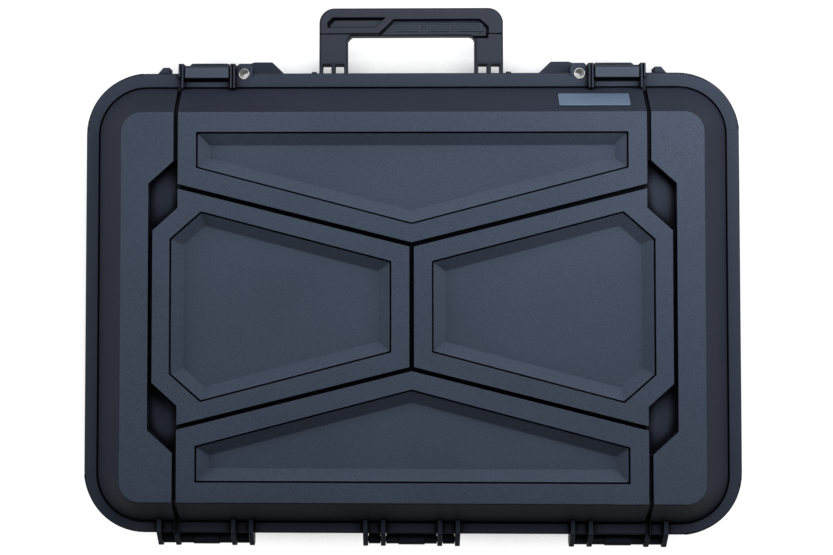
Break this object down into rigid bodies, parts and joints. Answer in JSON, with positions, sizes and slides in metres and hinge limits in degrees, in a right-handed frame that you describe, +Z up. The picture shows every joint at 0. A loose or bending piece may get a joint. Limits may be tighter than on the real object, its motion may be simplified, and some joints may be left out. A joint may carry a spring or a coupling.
{
  "type": "knife case",
  "caption": "Hard moulded carrying case for knives, with a hinged panelled lid, snap latches, padlock lugs, a fold-down handle and foam with knife pockets.",
  "frame": {"origin": "middle of the flat rest face under the base, in the plane that the case lies on", "axes": "+X to the right across the case's width, +Y from the hinges to the handle, +Z up from the base to the lid"},
  "size_m": [0.46, 0.3823, 0.0955],
  "materials": {
    "shell_plastic": "finely textured moulded blue-black plastic",
    "latch_plastic": "satin moulded blue-black plastic",
    "handle_plastic": "satin moulded blue-black plastic",
    "grip_rubber": "matt ribbed soft grip",
    "pin_steel": "blackened steel",
    "eyelet_steel": "bright plated steel",
    "seal_rubber": "matt black",
    "foam": "charcoal open-cell foam",
    "badge": "satin bare plate"
  },
  "bodies": {
    "base": {"base_shell": "shell_plastic", "hinge_pin_left": "pin_steel", "hinge_pin_middle": "pin_steel", "hinge_pin_right": "pin_steel", "latch_pin_left": "pin_steel", "latch_pin_right": "pin_steel", "handle_pin_left": "pin_steel", "handle_pin_right": "pin_steel", "base_eyelet_left": "eyelet_steel", "base_eyelet_right": "eyelet_steel", "base_foam_pad": "foam", "base_foam_tray": "foam"},
    "lid": {"lid_shell": "shell_plastic", "rim_gasket": "seal_rubber", "lid_eyelet_left": "eyelet_steel", "lid_eyelet_right": "eyelet_steel", "lid_foam": "foam", "badge_plate": "badge"},
    "latch_left": {"latch_left": "latch_plastic"},
    "latch_right": {"latch_right": "latch_plastic"},
    "handle": {"handle_frame": "handle_plastic", "handle_cover_front": "handle_plastic", "handle_cover_back": "handle_plastic", "grip_pads_front": "grip_rubber", "grip_pads_back": "grip_rubber"}
  },
  "joints": [
    {"name": "lid_hinge", "type": "hinge", "parent": "base", "child": "lid", "pos_m": [0, -0.1667, 0.0661], "axis": [1, 0, 0], "range_deg": [0, 110]},
    {"name": "latch_left_hinge", "type": "hinge", "parent": "base", "child": "latch_left", "pos_m": [-0.1445, 0.1638, 0.042], "axis": [-1, 0, 0], "range_deg": [0, 120]},
    {"name": "latch_right_hinge", "type": "hinge", "parent": "base", "child": "latch_right", "pos_m": [0.1445, 0.1638, 0.042], "axis": [-1, 0, 0], "range_deg": [0, 120]},
    {"name": "handle_hinge", "type": "hinge", "parent": "base", "child": "handle", "pos_m": [0, 0.1585, 0.0525], "axis": [-1, 0, 0], "range_deg": [0, 90]}
  ]
}
